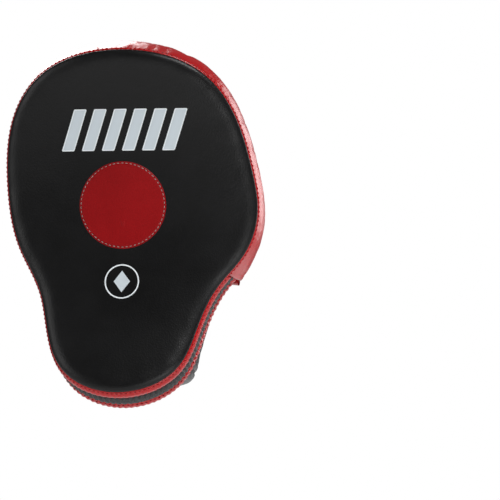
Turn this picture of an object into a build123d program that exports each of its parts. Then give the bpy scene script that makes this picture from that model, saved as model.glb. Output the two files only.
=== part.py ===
"""A focus mitt for the right hand: a bent, padded striking pad with a finger hood and a wrist flap.

Frame: +Z runs from the wrist to the fingertips, the striking face looks along -Y, and the thumb side
is +X. The origin is the middle of the palm surface. Everything is in millimetres.
"""

from build123d import *

import math
import os

# ---------------------------------------------------------------- driving dimensions
# the pad
face_half_width = 92.5  # half of the widest width of the striking face
face_half_length = 123.0  # from the middle of the face to either end, measured straight
bend_radius = 308.0  # of the palm surface, which bends round an axis along X
flare_radius = 450.0  # the side walls splay outwards at the two ends as if from this far away
face_crown = 6.0  # how far the middle of the face stands in front of its side edges

# the layers
leather = 1.6
lining = 1.2
impact_foam_thickness = 10.0
core_foam_thickness = 10.0
palm_foam_thickness = 6.8

# the edge of the pad, counted from the face to the back
face_roll = 5.0  # how far the face leather turns down over the edge
binding_width = 3.0
binding_proud = 0.8
wrist_strip_width = 10.0
elastic_width = 15.0
elastic_proud = 1.0
wrist_lip = 13.0  # how far the wrist wall stands above the palm surface
waist_z = -40.0  # where the finger wall ends and the wrist wall starts

# the target
target_radius = 31.9
target_z = 13.0
target_thickness = 1.2

# the finger hood
hood_peak = 54.0  # highest point of the crown above the palm surface
hood_peak_z = -25.0
hood_radius = 230.0  # the crown's bend from wrist to fingertips
hood_drop = 31.0  # from the middle of the crown to the widest place of the seam
hood_thumb_drop = 25.0  # the same on the thumb side, which is roomier
hood_mouth_z = -32.0  # middle of the mouth, which is hollowed between its corners
hood_foam_thickness = 10.0
hem_width = 3.0

# the label
label_width = 90.0
label_length = 84.0
label_z = 46.0
label_thickness = 0.8

# the wrist cuff, an arch over the palm surface
cuff_z = -78.0
cuff_length = 50.0
cuff_front_half_width = 64.0
cuff_rear_half_width = 56.0
cuff_front_pinch = 0.12  # how much narrower the arch is at its base
cuff_rear_pinch = 0.28
cuff_front_height = 57.0
cuff_rear_height = 54.0
cuff_squareness = 0.8  # 1 is an ellipse, and less is boxier
cuff_foam_thickness = 8.0
cuff_binding = 2.5
flap_root_angle = 72.0  # round the arch, from the thumb side
flap_fold_angle = 122.0
flap_end_angle = 161.0
tab_end_angle = 112.0

# the fastening
fastener_pile = 1.0  # thickness of the hook and of the loop tape
fastener_gap = 0.4  # between the hooks and the loops
hook_start_angle = 127.0
loop_start_angle = 116.0
fastener_end_angle = 158.0
fastener_margin = 5.0  # from the tape to the flap's front and rear edges
tab_thickness = 2.4

# the panels that join hood and cuff on either side of the hand
panel_thickness = 2.4
panel_half_width = 66.0
panel_height = 36.0
panel_top_angle = 76.0
panel_front_z = -36.0
pinky_panel_angle = 122.0

# fits
body_gap = 0.6  # between two pieces that move against each other, along the arch
sewn_gap = 0.2  # between sewn pieces that only meet edge to edge
tape_seam = 0.15  # between the loop tape and the tab that it is sewn to

# ---------------------------------------------------------------- derived sizes
pad_thickness = 2 * leather + impact_foam_thickness + core_foam_thickness + palm_foam_thickness
face_y = -pad_thickness
hood_shell = leather + hood_foam_thickness + lining
cuff_shell = leather + cuff_foam_thickness + lining
loop_inset = cuff_shell + fastener_pile + fastener_gap
tab_inset = loop_inset + fastener_pile + tape_seam
binding_start = face_y + face_roll
wall_start = binding_start + binding_width
elastic_start = wall_start + wrist_strip_width
back_strip_start = elastic_start + elastic_width
bend_axis = Axis((0, -bend_radius, 0), (1, 0, 0))
cuff_angle = math.asin(cuff_z / bend_radius)
rim_y = math.sqrt((bend_radius - pad_thickness) ** 2 - face_half_length**2) - bend_radius

clear_of_everything = 30.0  # how far the cutting blocks reach past the mitt
block_front = rim_y - clear_of_everything
block_back = hood_peak + clear_of_everything
layer_reach = face_half_width + clear_of_everything
layer_half_arc = 42.0  # degrees round the bend axis, past both ends of the mitt

os.makedirs("parts", exist_ok=True)


def palm_y(z):
    """Y of the palm surface at height z."""
    return math.sqrt(bend_radius**2 - z**2) - bend_radius


def finish(builder, name):
    """Labels a finished piece and writes it."""
    builder.part.label = name
    export_step(builder.part, f"parts/{name}.step")
    print(f"{name}: {len(builder.part.solids())} solids, {builder.part.volume / 1000:.2f} cm3")


# ---------------------------------------------------------------- the outline and its blocks
# the two halves of the face, as shares of its half width and half length: the thumb side is fuller
thumb_shares = [
    (0.69, 0.82),
    (0.90, 0.585),
    (1.02, 0.29),
    (1.06, 0.055),
    (0.95, -0.18),
    (0.75, -0.36),
    (0.60, -0.60),
    (0.465, -0.835),
]
pinky_shares = [
    (-0.465, -0.835),
    (-0.59, -0.60),
    (-0.67, -0.36),
    (-0.835, -0.125),
    (-0.935, 0.23),
    (-0.88, 0.585),
    (-0.68, 0.82),
]
outline_shares = [(0, 1)] + thumb_shares + [(0, -1)] + pinky_shares
outline_knots = [(x * face_half_width, z * face_half_length) for x, z in outline_shares]
outline_samples = 32  # two for each of the arcs that the outline is made of


def outline_points(inset, stretch):
    """Points of the face outline, moved inwards by inset and stretched along Z."""
    edge = Edge.make_spline([Vector(*knot) for knot in outline_knots], periodic=True)
    points = []
    for i in range(outline_samples):
        at = edge.position_at(i / outline_samples)
        along = edge.tangent_at(i / outline_samples)
        points.append((at.X + along.Y * inset, (at.Y - along.X * inset) * stretch))
    return points


def outline_block(inset):
    """The outline as a solid that runs right through the mitt from front to back."""
    with BuildPart(mode=Mode.PRIVATE) as block:
        for y in (block_front, block_back):
            points = outline_points(inset, 1 + (y - rim_y) / flare_radius)
            points.append(points[0])
            with BuildSketch(Plane.XZ.offset(-y)):
                with BuildLine():
                    for i in range(0, outline_samples, 2):
                        ThreePointArc(*points[i : i + 3])
                make_face()
        loft(ruled=True)
    return block.part


def bent_layer(front, back, front_crown=0.0, back_crown=0.0):
    """What lies between two surfaces bent round the bend axis, given by their Y in the middle."""
    share = (layer_reach / face_half_width) ** 2
    start = math.radians(-layer_half_arc)
    start_plane = Plane(
        origin=(0, -bend_radius, 0), x_dir=(1, 0, 0), z_dir=(0, -math.sin(start), math.cos(start))
    )
    front_middle = (0, bend_radius + front)
    front_end = front_middle[1] + front_crown * share
    back_middle = (0, bend_radius + back)
    back_end = back_middle[1] + back_crown * share
    with BuildPart(mode=Mode.PRIVATE) as layer:
        with BuildSketch(start_plane):
            with BuildLine():
                if front_crown:
                    ThreePointArc((-layer_reach, front_end), front_middle, (layer_reach, front_end))
                else:
                    Line((-layer_reach, front_end), (layer_reach, front_end))
                Line((layer_reach, front_end), (layer_reach, back_end))
                if back_crown:
                    ThreePointArc((layer_reach, back_end), back_middle, (-layer_reach, back_end))
                else:
                    Line((layer_reach, back_end), (-layer_reach, back_end))
                Line((-layer_reach, back_end), (-layer_reach, front_end))
            make_face()
        revolve(axis=bend_axis, revolution_arc=2 * layer_half_arc)
    return layer.part


def pad_layer(front, back):
    """A layer of the pad between two depths, crowned at the face and flat at the palm."""
    return bent_layer(front, back, face_crown * front / face_y, face_crown * back / face_y)


whole = outline_block(0)
inner = outline_block(leather)
wall_ring = whole - inner

# ---------------------------------------------------------------- the pad
with BuildPart() as face_cover:
    add(whole)
    add(pad_layer(face_y, face_y + face_roll), mode=Mode.INTERSECT)
    add(inner & pad_layer(face_y + leather, face_y + 2 * face_roll), mode=Mode.SUBTRACT)
finish(face_cover, "face_cover")

impact_start = face_y + leather
core_start = impact_start + impact_foam_thickness
palm_foam_start = core_start + core_foam_thickness

with BuildPart() as impact_foam:
    add(inner)
    add(pad_layer(impact_start, core_start), mode=Mode.INTERSECT)
finish(impact_foam, "impact_foam")

with BuildPart() as core_foam:
    add(inner)
    add(pad_layer(core_start, palm_foam_start), mode=Mode.INTERSECT)
finish(core_foam, "core_foam")

with BuildPart() as palm_foam:
    add(inner)
    add(pad_layer(palm_foam_start, -leather), mode=Mode.INTERSECT)
finish(palm_foam, "palm_foam")

with BuildPart() as palm_cover:
    add(inner)
    add(pad_layer(-leather, 0), mode=Mode.INTERSECT)
finish(palm_cover, "palm_cover")

with BuildPart() as target_disc:
    with BuildSketch(Plane.XZ.offset(-block_front)):
        with Locations((0, target_z)):
            Circle(target_radius)
    extrude(amount=block_front)
    add(pad_layer(face_y - target_thickness, face_y), mode=Mode.INTERSECT)
finish(target_disc, "target_disc")

# ---------------------------------------------------------------- the edge of the pad
with BuildPart() as seam_binding:
    add(outline_block(-binding_proud) - inner)
    add(pad_layer(binding_start, wall_start), mode=Mode.INTERSECT)
finish(seam_binding, "seam_binding")


def band_block(bottom, top):
    """A box across the whole mitt between two heights."""
    with BuildPart(mode=Mode.PRIVATE) as band:
        with BuildSketch(Plane.XY.offset(bottom)):
            Rectangle(2 * layer_reach, 4 * block_back)
        extrude(amount=top - bottom)
    return band.part


mitt_reach = 2 * face_half_length
above_waist = band_block(waist_z, mitt_reach)
below_waist = band_block(-mitt_reach, waist_z - sewn_gap)


def wrist_band(front, back, proud):
    """A strip of the wrist wall between two depths."""
    ring = (outline_block(-proud) - inner) if proud else wall_ring
    return ring & pad_layer(front, back) & below_waist


with BuildPart() as wrist_front_strip:
    add(wrist_band(wall_start, elastic_start, 0))
finish(wrist_front_strip, "wrist_front_strip")

with BuildPart() as wrist_elastic:
    add(wrist_band(elastic_start, back_strip_start, elastic_proud))
finish(wrist_elastic, "wrist_elastic")

with BuildPart() as wrist_back_strip:
    add(wall_ring & bent_layer(back_strip_start, wrist_lip, face_crown * back_strip_start / face_y))
    add(below_waist, mode=Mode.INTERSECT)
finish(wrist_back_strip, "wrist_back_strip")

# ---------------------------------------------------------------- the hood
hood_axis = Axis((0, hood_peak - hood_radius, hood_peak_z), (1, 0, 0))
hood_start_angle = -25.0  # round the hood's axis, measured from the peak
hood_end_angle = 55.0


def crown_end(drop, depth):
    """Middle and end of the arc across the crown, as X and radius, depth under its surface."""
    radius = (face_half_width**2 + drop**2) / (2 * drop) - depth
    centre = hood_radius - depth - radius
    reach = min(layer_reach, 0.95 * radius)
    middle = (reach / 2, centre + math.sqrt(radius**2 - reach**2 / 4))
    return middle, (reach, centre + math.sqrt(radius**2 - reach**2))


def crown_layer(outer, base):
    """What lies between two depths under the outside of the crown."""
    start = math.radians(hood_start_angle)
    start_plane = Plane(
        origin=(0, hood_peak - hood_radius, hood_peak_z),
        x_dir=(1, 0, 0),
        z_dir=(0, -math.sin(start), math.cos(start)),
    )
    with BuildPart(mode=Mode.PRIVATE) as layer:
        with BuildSketch(start_plane):
            with BuildLine():
                ends = []
                for depth in (outer, base):
                    top = (0, hood_radius - depth)
                    middle, right = crown_end(hood_thumb_drop, depth)
                    ThreePointArc(top, middle, right)
                    middle, end = crown_end(hood_drop, depth)
                    left = (-end[0], end[1])
                    ThreePointArc(top, (-middle[0], middle[1]), left)
                    ends.append((left, right))
                Line(ends[0][0], ends[1][0])
                Line(ends[0][1], ends[1][1])
            make_face()
        revolve(axis=hood_axis, revolution_arc=hood_end_angle - hood_start_angle)
    return layer.part


def mouth_block(shift):
    """Everything on the fingertip side of the mouth, which is moved along Z by shift."""
    corner = waist_z + shift
    with BuildPart(mode=Mode.PRIVATE) as block:
        with BuildSketch(Plane.XZ.offset(-block_back)):
            with BuildLine():
                left = (-layer_reach, corner)
                right = (layer_reach, corner)
                left_corner = (-face_half_width, corner)
                right_corner = (face_half_width, corner)
                Line(left, left_corner)
                ThreePointArc(left_corner, (0, hood_mouth_z + shift), right_corner)
                Polyline(right_corner, right, (layer_reach, mitt_reach), (-layer_reach, mitt_reach), left)
            make_face()
        extrude(amount=2 * block_back)
    return block.part


under_lining = leather + hood_foam_thickness
tallest_wall = 50.0  # more than any part of the finger wall stands above the palm surface
pad = bent_layer(face_y - clear_of_everything, 0)
mouth = mouth_block(0)
hem_zone = mouth_block(-hem_width) - mouth

with BuildPart() as finger_wall:
    add(wall_ring & above_waist)
    add(bent_layer(wall_start, tallest_wall, face_crown * wall_start / face_y), mode=Mode.INTERSECT)
    add(crown_layer(-tallest_wall, leather), mode=Mode.SUBTRACT)
finish(finger_wall, "finger_wall")

with BuildPart() as hood_crown:
    add(whole & mouth)
    add(crown_layer(0, leather), mode=Mode.INTERSECT)
finish(hood_crown, "hood_crown")

with BuildPart() as hood_foam:
    add(inner & mouth)
    add(crown_layer(leather, under_lining), mode=Mode.INTERSECT)
    add(pad, mode=Mode.SUBTRACT)
finish(hood_foam, "hood_foam")

with BuildPart() as hood_lining:
    add(inner & mouth)
    add(crown_layer(under_lining, hood_shell), mode=Mode.INTERSECT)
    add(pad, mode=Mode.SUBTRACT)
finish(hood_lining, "hood_lining")

with BuildPart() as hood_hem:
    add(inner & hem_zone)
    add(crown_layer(0, hood_shell), mode=Mode.INTERSECT)
finish(hood_hem, "hood_hem")

with BuildPart() as label_patch:
    with BuildSketch(Plane.XZ.offset(-block_back)):
        with Locations((0, label_z)):
            Rectangle(label_width, label_length)
    extrude(amount=2 * block_back)
    add(crown_layer(-label_thickness, 0), mode=Mode.INTERSECT)
finish(label_patch, "label_patch")

# ---------------------------------------------------------------- the wrist cuff
gap_angle = math.degrees(body_gap / cuff_front_half_width)
cuff_end = cuff_length / 2
cuff_bound_end = cuff_end + cuff_binding


def cuff_plane(along):
    """The plane across the cuff, along millimetres from its middle towards the fingertips."""
    lengthwise = Vector(0, -math.sin(cuff_angle), math.cos(cuff_angle))
    origin = Vector(0, palm_y(cuff_z), cuff_z) + lengthwise * along
    return Plane(origin=origin, x_dir=(1, 0, 0), z_dir=lengthwise)


def power(value, exponent):
    """A power that keeps the sign of its base."""
    return math.copysign(abs(value) ** exponent, value)


def arch_point(angle, half_width, height, pinch):
    """A point of an arch over the palm: 0 degrees is its foot on the thumb side."""
    across = math.cos(math.radians(angle))
    up = max(0.0, math.sin(math.radians(angle)))
    narrowing = 1 - pinch * (1 - up) ** 2
    return half_width * power(across, cuff_squareness) * narrowing, height * power(up, cuff_squareness)


def cuff_point(angle, depth, along):
    """A point of the cuff's arch, depth under its outside."""
    share = (along + cuff_end) / cuff_length
    half_width = cuff_rear_half_width + (cuff_front_half_width - cuff_rear_half_width) * share
    height = cuff_rear_height + (cuff_front_height - cuff_rear_height) * share
    pinch = cuff_rear_pinch + (cuff_front_pinch - cuff_rear_pinch) * share
    return arch_point(angle, half_width - depth, height - depth, pinch)


arch_steps = 8


def arch_face(point_at, start, end, outer, base):
    """Draws the closed outline of a piece of an arch between two angles and two depths."""
    angles = [start + (end - start) * i / arch_steps for i in range(arch_steps + 1)]
    outside = [point_at(angle, outer) for angle in angles]
    inside = [point_at(angle, base) for angle in reversed(angles)]
    Spline(*outside)
    Line(outside[-1], inside[0])
    Spline(*inside)
    Line(inside[-1], outside[0])


def cuff_piece(start, end, outer, base, rear=-cuff_end, front=cuff_end):
    """A piece of the cuff between two angles, two depths and two places along it."""
    with BuildPart(mode=Mode.PRIVATE) as piece:
        for along in (rear, front):
            with BuildSketch(cuff_plane(along)):
                with BuildLine():
                    arch_face(lambda angle, depth: cuff_point(angle, depth, along), start, end, outer, base)
                make_face()
        loft(ruled=True)
    return piece.part


# each padded piece: its name and the angles that it covers
padded_pieces = (
    ("cuff_thumb", 0, flap_root_angle - gap_angle / 2),
    ("flap_base", flap_root_angle + gap_angle / 2, flap_fold_angle - gap_angle / 2),
    ("flap_tip", flap_fold_angle + gap_angle / 2, flap_end_angle),
)
cuff_layers = (
    ("cover", 0, leather),
    ("foam", leather, leather + cuff_foam_thickness),
    ("lining", leather + cuff_foam_thickness, cuff_shell),
)
end_binding_angle = 3.0

for name, start, end in padded_pieces:
    for layer_name, outer, base in cuff_layers:
        with BuildPart() as padded_layer:
            add(cuff_piece(start, end, outer, base))
        finish(padded_layer, f"{name}_{layer_name}")

for name, start, end in padded_pieces[:2]:
    with BuildPart() as front_binding:
        add(cuff_piece(start, end, 0, cuff_shell, cuff_end, cuff_bound_end))
    finish(front_binding, f"{name}_front_binding")
    with BuildPart() as rear_binding:
        add(cuff_piece(start, end, 0, cuff_shell, -cuff_bound_end, -cuff_end))
    finish(rear_binding, f"{name}_rear_binding")

with BuildPart() as flap_tip_binding:
    name, start, end = padded_pieces[2]
    add(cuff_piece(start, end + end_binding_angle, 0, cuff_shell, -cuff_bound_end, cuff_bound_end))
    add(cuff_piece(start - end_binding_angle, end, -leather, cuff_shell + leather), mode=Mode.SUBTRACT)
finish(flap_tip_binding, "flap_tip_binding")

# ---------------------------------------------------------------- the fastening
fastener_end = cuff_end - fastener_margin

with BuildPart() as hook_patch:
    hook_base = cuff_shell + fastener_pile
    add(cuff_piece(hook_start_angle, fastener_end_angle, cuff_shell, hook_base, -fastener_end, fastener_end))
finish(hook_patch, "hook_patch")

with BuildPart() as loop_patch:
    add(cuff_piece(loop_start_angle, fastener_end_angle, loop_inset, tab_inset, -fastener_end, fastener_end))
finish(loop_patch, "loop_patch")

with BuildPart() as pinky_tab:
    add(cuff_piece(tab_end_angle, 180, tab_inset, tab_inset + tab_thickness, -cuff_end, cuff_bound_end))
finish(pinky_tab, "pinky_tab")


# ---------------------------------------------------------------- the panels between hood and cuff
def side_panel(start, end, depth):
    """A leather panel from inside the hood's mouth to the front of the cuff."""
    with BuildPart(mode=Mode.PRIVATE) as panel:
        with BuildSketch(Plane.XY.offset(panel_front_z)):
            with BuildLine():

                def hood_side(angle, below):
                    x, up = arch_point(angle, panel_half_width - below, panel_height - below, 0)
                    return x, up + palm_y(panel_front_z)

                arch_face(hood_side, start, end, 0, panel_thickness)
            make_face()
        rear = cuff_bound_end + sewn_gap
        with BuildSketch(cuff_plane(rear)):
            with BuildLine():

                def cuff_side(angle, below):
                    return cuff_point(angle, depth + below, rear)

                arch_face(cuff_side, start, end, 0, panel_thickness)
            make_face()
        loft(ruled=True)
    return panel.part


with BuildPart() as thumb_side_panel:
    add(side_panel(0, panel_top_angle, cuff_shell / 2))
finish(thumb_side_panel, "thumb_side_panel")

with BuildPart() as pinky_side_panel:
    add(side_panel(pinky_panel_angle, 180, tab_inset))
finish(pinky_side_panel, "pinky_side_panel")

for angle in (flap_root_angle, flap_fold_angle):
    for along in (-cuff_end, cuff_end):
        hinge_point = cuff_plane(along).from_local_coords(cuff_point(angle, 0, along))
        print("hinge line at", angle, "degrees passes", hinge_point)
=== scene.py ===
# %% [markdown]
# # A focus mitt
# A focus mitt is a bent, padded target that a trainer wears on one hand. Its leather covers are sewn over
# foam, so every surface swells between its seams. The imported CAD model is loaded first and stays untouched:
# it says where each piece is, and each soft piece below is a new mesh that stands for CAD pieces.

# %% Load the frame
import math

import bmesh
import bpy
import numpy as np
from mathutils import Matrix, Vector, noise
from mathutils.bvhtree import BVHTree


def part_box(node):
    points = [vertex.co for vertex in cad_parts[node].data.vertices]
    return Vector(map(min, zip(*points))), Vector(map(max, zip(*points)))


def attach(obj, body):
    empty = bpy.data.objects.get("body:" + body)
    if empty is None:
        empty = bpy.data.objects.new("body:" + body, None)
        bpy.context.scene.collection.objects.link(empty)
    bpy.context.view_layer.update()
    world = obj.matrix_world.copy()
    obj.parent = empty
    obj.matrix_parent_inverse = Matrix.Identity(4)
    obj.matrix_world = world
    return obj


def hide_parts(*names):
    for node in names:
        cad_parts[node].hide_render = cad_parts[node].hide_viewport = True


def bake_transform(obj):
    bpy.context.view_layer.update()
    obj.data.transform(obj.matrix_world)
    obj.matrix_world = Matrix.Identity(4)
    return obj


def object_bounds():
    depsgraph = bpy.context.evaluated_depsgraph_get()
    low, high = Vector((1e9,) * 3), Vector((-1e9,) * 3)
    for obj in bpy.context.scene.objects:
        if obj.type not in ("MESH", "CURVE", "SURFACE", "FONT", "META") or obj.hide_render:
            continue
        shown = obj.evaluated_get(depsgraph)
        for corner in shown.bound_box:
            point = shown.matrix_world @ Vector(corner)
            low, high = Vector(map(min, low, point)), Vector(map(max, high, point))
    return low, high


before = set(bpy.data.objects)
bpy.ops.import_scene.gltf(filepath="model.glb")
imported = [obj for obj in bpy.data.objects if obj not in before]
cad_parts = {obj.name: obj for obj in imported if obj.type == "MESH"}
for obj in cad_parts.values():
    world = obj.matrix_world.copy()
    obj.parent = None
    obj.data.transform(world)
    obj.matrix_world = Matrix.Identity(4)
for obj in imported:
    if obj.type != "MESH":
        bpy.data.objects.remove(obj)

cad_low, cad_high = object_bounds()
print("CAD box", [round(v, 4) for v in cad_low], [round(v, 4) for v in cad_high])

# %% [markdown]
# ## The mitt's own measures
# The pad is a slab bent round an axis along X. The same few measures that shaped the CAD pieces are named
# here in metres, so that each cover can be laid exactly on the layer that it wraps.

# %% Measures
bend_radius = 0.308
pad_thickness = 0.030
face_half_width = 0.0925
face_half_length = 0.123
flare_radius = 0.450
face_crown = 0.006
rim_y = math.sqrt((bend_radius - pad_thickness) ** 2 - face_half_length**2) - bend_radius
seam_depth = -0.025  # of the seam between face and binding, counted from the palm surface
binding_end = -0.022
elastic_start = -0.012
elastic_end = 0.003
lip_depth = 0.013
waist_z = -0.040
hood_peak, hood_peak_z, hood_radius = 0.054, -0.025, 0.230
hood_pinky_drop, hood_thumb_drop = 0.031, 0.025
hood_mouth_z = -0.032
target_radius, target_z = 0.0319, 0.013

thumb_shares = [(0.69, 0.82), (0.90, 0.585), (1.02, 0.29), (1.06, 0.055)]
thumb_shares += [(0.95, -0.18), (0.75, -0.36), (0.60, -0.60), (0.465, -0.835)]
pinky_shares = [(-0.465, -0.835), (-0.59, -0.60), (-0.67, -0.36), (-0.835, -0.125)]
pinky_shares += [(-0.935, 0.23), (-0.88, 0.585), (-0.68, 0.82)]
outline_shares = [(0, 1)] + thumb_shares + [(0, -1)] + pinky_shares


# %% The outline as a closed smooth curve
def closed_curve(knots):
    """A function that gives points and slopes of the smooth closed curve through knots, for shares of it."""
    knots = np.array(knots, float)
    spans = np.linalg.norm(np.roll(knots, -1, axis=0) - knots, axis=1)
    count = len(knots)
    system = np.zeros((count, count))
    right = np.zeros((count, 2))
    for i in range(count):
        before, after = spans[i - 1], spans[i]
        system[i, i - 1] += before
        system[i, i] += 2 * (before + after)
        system[i, (i + 1) % count] += after
        ahead = (knots[(i + 1) % count] - knots[i]) / after
        behind = (knots[i] - knots[i - 1]) / before
        right[i] = 6 * (ahead - behind)
    bend = np.linalg.solve(system, right)
    starts = np.concatenate([[0], np.cumsum(spans)])

    def at(shares):
        where = np.mod(np.asarray(shares, float), 1.0) * starts[-1]
        i = np.clip(np.searchsorted(starts, where, side="right") - 1, 0, count - 1)
        j = (i + 1) % count
        length = spans[i][:, None]
        left = (where - starts[i])[:, None]
        rest = length - left
        first = (knots[j] - knots[i]) / length
        points = (
            bend[i] * rest**3 / (6 * length)
            + bend[j] * left**3 / (6 * length)
            + (knots[i] / length - bend[i] * length / 6) * rest
            + (knots[j] / length - bend[j] * length / 6) * left
        )
        slopes = (bend[j] * left**2 - bend[i] * rest**2) / (2 * length) + first
        slopes = slopes - (bend[j] - bend[i]) * length / 6
        return points, slopes / np.linalg.norm(slopes, axis=1)[:, None]

    return at


outline_at = closed_curve([(x * face_half_width, z * face_half_length) for x, z in outline_shares])


def rim(shares, out=0.0):
    """X and Z of the face outline at these shares of its length, moved outwards by out."""
    points, slopes = outline_at(shares)
    outwards = np.stack([-slopes[:, 1], slopes[:, 0]], axis=1)
    return points + outwards * np.reshape(out, (-1, 1))


def flared(points, y):
    """Rim points carried to depth y along the splayed wall, as X, Y, Z."""
    z = points[:, 1] * (1 + (y - rim_y) / flare_radius)
    return np.stack([points[:, 0], y, z], axis=1)


def on_layer(points, depth):
    """Rim points carried to the bent layer at this depth from the palm surface."""
    depth = np.broadcast_to(depth, len(points)).astype(float)
    crown = face_crown * np.clip(-depth / pad_thickness, 0, 1) * (points[:, 0] / face_half_width) ** 2
    y = np.full(len(points), rim_y)
    for _ in range(12):
        z = points[:, 1] * (1 + (y - rim_y) / flare_radius)
        y = np.sqrt((bend_radius + depth + crown) ** 2 - z**2) - bend_radius
    return flared(points, y)


def crown_y(x, z, depth=0.0):
    """Y of the hood's crown over a place of the palm, depth under its outside."""
    drop = np.where(x > 0, hood_thumb_drop, hood_pinky_drop)
    arc = (face_half_width**2 + drop**2) / (2 * drop)
    across = hood_radius - arc + np.sqrt(np.maximum((arc - depth) ** 2 - x**2, 1e-6))
    return hood_peak - hood_radius + np.sqrt(np.maximum(across**2 - (z - hood_peak_z) ** 2, 1e-6))


face_low, face_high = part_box("face_cover")
widest = rim(np.linspace(0, 1, 400))
print("outline", round(float(np.ptp(widest[:, 0])), 4), "CAD", round(face_high.x - face_low.x, 4))


# %% [markdown]
# ## Small mesh helpers
# A sewn cover is easiest to make as rows of points: one row follows the seam, the next lies a little
# further in, and neighbouring rows are joined with quads. Numpy holds the rows, and one helper turns any
# such grid into a Blender mesh.


# %% Grid helper
def make_object(name, points, faces, material, body, smooth=True):
    """A mesh object from points and faces, with a material, riding on a CAD body."""
    mesh = bpy.data.meshes.new(name)
    mesh.from_pydata([tuple(p) for p in points], [], faces)
    mesh.validate()
    made = bpy.data.objects.new(name, mesh)
    bpy.context.scene.collection.objects.link(made)
    mesh.materials.append(material)
    if smooth:
        mesh.shade_smooth()
    fixed = bmesh.new()
    fixed.from_mesh(mesh)
    bmesh.ops.remove_doubles(fixed, verts=fixed.verts, dist=1e-6)
    bmesh.ops.recalc_face_normals(fixed, faces=fixed.faces)
    fixed.to_mesh(mesh)
    fixed.free()
    if body:
        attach(made, body)
    return made


def grid_faces(rows, columns, wrap_columns=False, wrap_rows=False):
    """Quads that join a grid of points, numbered row by row."""
    faces = []
    for r in range(rows if wrap_rows else rows - 1):
        below = (r + 1) % rows
        for c in range(columns if wrap_columns else columns - 1):
            beside = (c + 1) % columns
            corners = (r * columns + c, r * columns + beside, below * columns + beside, below * columns + c)
            faces.append(corners)
    return faces


def grid_object(name, rows, material, body, wrap_columns=False, wrap_rows=False, caps=()):
    """An object from rows of points, each row an array of X, Y, Z. caps closes the first or last row."""
    rows = np.array(rows)
    count, columns = rows.shape[:2]
    faces = grid_faces(count, columns, wrap_columns, wrap_rows)
    for row in caps:
        faces.append(tuple((row % count) * columns + c for c in range(columns)))
    return make_object(name, rows.reshape(-1, 3), faces, material, body)


def ramp(value, low, high):
    """0 below low, 1 above high and smooth between."""
    t = np.clip((np.asarray(value, float) - low) / (high - low), 0, 1)
    return t * t * (3 - 2 * t)


def rumple(points, size, seed, stretch=(1, 1, 1)):
    """Smooth noise from -1 to 1 at points, with features of about this size."""
    scale = [s / size for s in stretch]
    values = []
    for p in points:
        at = Vector((p[0] * scale[0] + seed, p[1] * scale[1] - seed, p[2] * scale[2] + 2 * seed))
        values.append(noise.noise(at))
    return np.array(values)


# %% [markdown]
# ## Leather
# The mitt's leather is a smooth, slightly plastic hide. Close up it has a fine pebble grain, faint creases
# where it has bent, and a gloss that varies with handling. One node group makes that surface from two
# scales of texture, and each leather places it with its own values. The colour stays in each material.


# %% Leather surface group
def new_group(name, inputs, outputs):
    """A shader node group with named inputs {name: (kind, default)} and outputs {name: kind}."""
    group = bpy.data.node_groups.new(name, "ShaderNodeTree")
    for label, (kind, value) in inputs.items():
        made = group.interface.new_socket(label, in_out="INPUT", socket_type=kind)
        if value is not None:
            made.default_value = value
    for label, kind in outputs.items():
        group.interface.new_socket(label, in_out="OUTPUT", socket_type=kind)
    return group, group.nodes.new("NodeGroupInput"), group.nodes.new("NodeGroupOutput")


def math_node(tree, operation, a, b=None, clamp=False):
    """A Math node, fed with sockets or numbers, and its output."""
    made = tree.nodes.new("ShaderNodeMath")
    made.operation = operation
    made.use_clamp = clamp
    for socket, value in zip(made.inputs, (a, b)):
        if isinstance(value, (int, float)):
            socket.default_value = value
        elif value is not None:
            tree.links.new(value, socket)
    return made.outputs[0]


def leather_group():
    """Grain, creases and handling marks of smooth leather, as a height, a gloss change and a tint mask."""
    number = "NodeSocketFloat"
    group, given, put = new_group(
        "LeatherSurface",
        {"Grain Scale": (number, 900.0), "Crease Scale": (number, 60.0), "Crease Depth": (number, 0.3)},
        {"Height": number, "Gloss Change": number, "Tint": number},
    )
    place = group.nodes.new("ShaderNodeTexCoord")
    cells = group.nodes.new("ShaderNodeTexVoronoi")
    cells.feature = "SMOOTH_F1"
    cells.inputs["Smoothness"].default_value = 0.6
    group.links.new(place.outputs["Object"], cells.inputs["Vector"])
    group.links.new(given.outputs["Grain Scale"], cells.inputs["Scale"])
    creases = group.nodes.new("ShaderNodeTexNoise")
    creases.noise_type = "RIDGED_MULTIFRACTAL"
    creases.inputs["Detail"].default_value = 4.0
    creases.inputs["Distortion"].default_value = 0.6
    group.links.new(place.outputs["Object"], creases.inputs["Vector"])
    group.links.new(given.outputs["Crease Scale"], creases.inputs["Scale"])
    marks = group.nodes.new("ShaderNodeTexNoise")
    marks.inputs["Scale"].default_value = 18.0
    marks.inputs["Detail"].default_value = 5.0
    marks.inputs["Roughness"].default_value = 0.6
    group.links.new(place.outputs["Object"], marks.inputs["Vector"])
    sunk = math_node(group, "MULTIPLY", creases.outputs["Fac"], given.outputs["Crease Depth"])
    height = math_node(group, "ADD", cells.outputs["Distance"], sunk)
    group.links.new(height, put.inputs["Height"])
    centred = math_node(group, "SUBTRACT", marks.outputs["Fac"], 0.5)
    group.links.new(centred, put.inputs["Gloss Change"])
    spread = group.nodes.new("ShaderNodeMapRange")
    spread.inputs["From Min"].default_value = 0.35
    spread.inputs["From Max"].default_value = 0.7
    group.links.new(marks.outputs["Fac"], spread.inputs["Value"])
    group.links.new(spread.outputs["Result"], put.inputs["Tint"])
    return group


leather_surface = leather_group()
print("group", leather_surface.name)


# %% Leathers
def new_material(name):
    """An empty material with its Principled shader."""
    made = bpy.data.materials.new(name)
    made.use_nodes = True
    return made, made.node_tree, made.node_tree.nodes["Principled BSDF"]


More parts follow.
